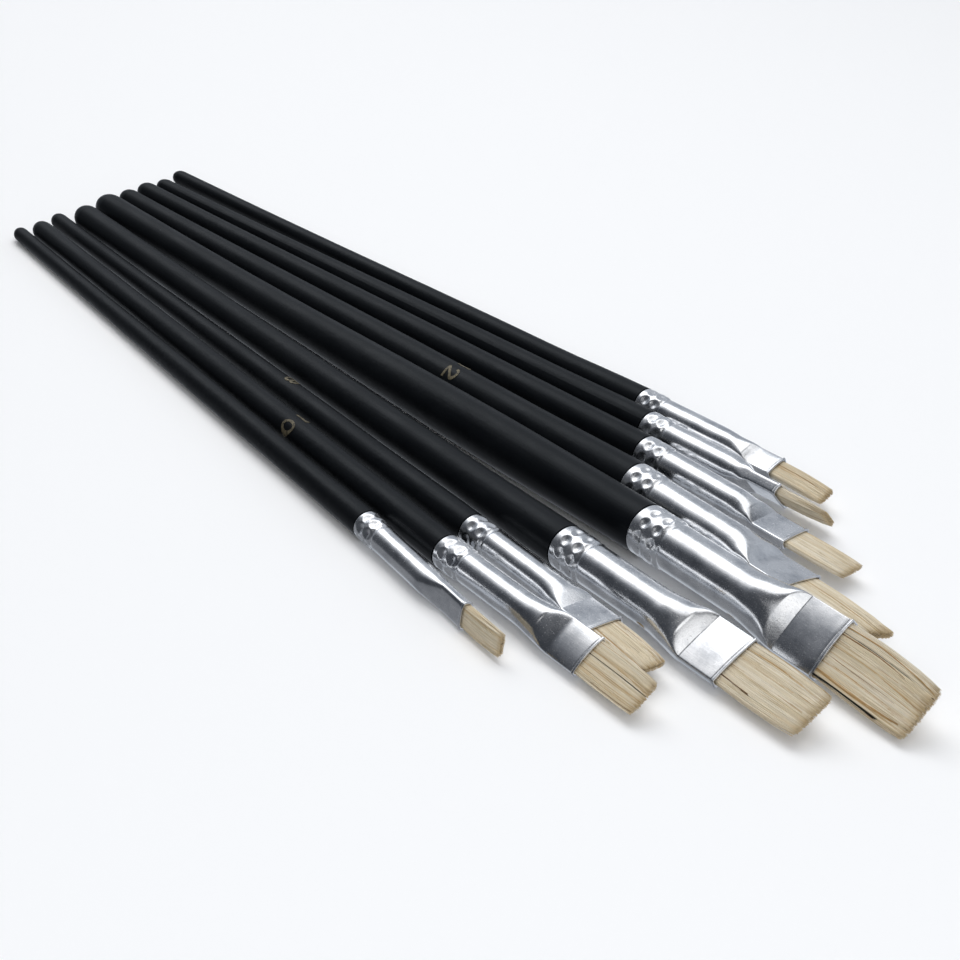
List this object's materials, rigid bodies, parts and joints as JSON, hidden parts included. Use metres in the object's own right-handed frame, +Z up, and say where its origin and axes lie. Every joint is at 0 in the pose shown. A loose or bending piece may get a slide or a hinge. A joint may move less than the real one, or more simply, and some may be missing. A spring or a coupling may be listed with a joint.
{
  "type": "flat bristle brush set",
  "caption": "Fan of flat bristle brushes lying side by side, with dark lacquered wooden handles, crimped aluminium ferrules and natural bristle.",
  "frame": {"origin": "centre of the whole row's box, on the flat surface that the brushes lie on", "axes": "+X along the middle brush from its handle's end to its bristle tips, +Y across the row towards brush 9, +Z up"},
  "size_m": [0.3306, 0.0984, 0.0124],
  "materials": {
    "black_lacquer": "satin blue-black lacquer over turned wood, fine grain showing through, with a few specks of dust",
    "ferrule_aluminium": "bright drawn aluminium, lightly scuffed, with crimps and a rolled rim",
    "set_resin": "set resin, hidden in the ferrule",
    "hog_bristle": "cream natural bristle with golden-brown and a few dark hairs",
    "gold_foil": "dull hot-stamped gold foil"
  },
  "bodies": {
    "brush_1": {"brush_1_handle": "black_lacquer", "brush_1_ferrule": "ferrule_aluminium", "brush_1_resin_plug": "set_resin", "brush_1_bristle_tuft": "hog_bristle"},
    "brush_2": {"brush_2_handle": "black_lacquer", "brush_2_ferrule": "ferrule_aluminium", "brush_2_resin_plug": "set_resin", "brush_2_bristle_tuft": "hog_bristle", "brush_2_size_mark": "gold_foil"},
    "brush_3": {"brush_3_handle": "black_lacquer", "brush_3_ferrule": "ferrule_aluminium", "brush_3_resin_plug": "set_resin", "brush_3_bristle_tuft": "hog_bristle", "brush_3_size_mark": "gold_foil"},
    "brush_4": {"brush_4_handle": "black_lacquer", "brush_4_ferrule": "ferrule_aluminium", "brush_4_resin_plug": "set_resin", "brush_4_bristle_tuft": "hog_bristle"},
    "brush_5": {"brush_5_handle": "black_lacquer", "brush_5_ferrule": "ferrule_aluminium", "brush_5_resin_plug": "set_resin", "brush_5_bristle_tuft": "hog_bristle"},
    "brush_6": {"brush_6_handle": "black_lacquer", "brush_6_ferrule": "ferrule_aluminium", "brush_6_resin_plug": "set_resin", "brush_6_bristle_tuft": "hog_bristle", "brush_6_size_mark": "gold_foil"},
    "brush_7": {"brush_7_handle": "black_lacquer", "brush_7_ferrule": "ferrule_aluminium", "brush_7_resin_plug": "set_resin", "brush_7_bristle_tuft": "hog_bristle"},
    "brush_8": {"brush_8_handle": "black_lacquer", "brush_8_ferrule": "ferrule_aluminium", "brush_8_resin_plug": "set_resin", "brush_8_bristle_tuft": "hog_bristle"},
    "brush_9": {"brush_9_handle": "black_lacquer", "brush_9_ferrule": "ferrule_aluminium", "brush_9_resin_plug": "set_resin", "brush_9_bristle_tuft": "hog_bristle"}
  },
  "joints": [
    {"name": "brush_1_lift", "type": "slide", "parent": "brush_5", "child": "brush_1", "axis": [0, 0, 1], "range_m": [0, 0.05]},
    {"name": "brush_2_lift", "type": "slide", "parent": "brush_5", "child": "brush_2", "axis": [0, 0, 1], "range_m": [0, 0.05]},
    {"name": "brush_3_lift", "type": "slide", "parent": "brush_5", "child": "brush_3", "axis": [0, 0, 1], "range_m": [0, 0.05]},
    {"name": "brush_4_lift", "type": "slide", "parent": "brush_5", "child": "brush_4", "axis": [0, 0, 1], "range_m": [0, 0.05]},
    {"name": "brush_6_lift", "type": "slide", "parent": "brush_5", "child": "brush_6", "axis": [0, 0, 1], "range_m": [0, 0.05]},
    {"name": "brush_7_lift", "type": "slide", "parent": "brush_5", "child": "brush_7", "axis": [0, 0, 1], "range_m": [0, 0.05]},
    {"name": "brush_8_lift", "type": "slide", "parent": "brush_5", "child": "brush_8", "axis": [0, 0, 1], "range_m": [0, 0.05]},
    {"name": "brush_9_lift", "type": "slide", "parent": "brush_5", "child": "brush_9", "axis": [0, 0, 1], "range_m": [0, 0.05]}
  ]
}
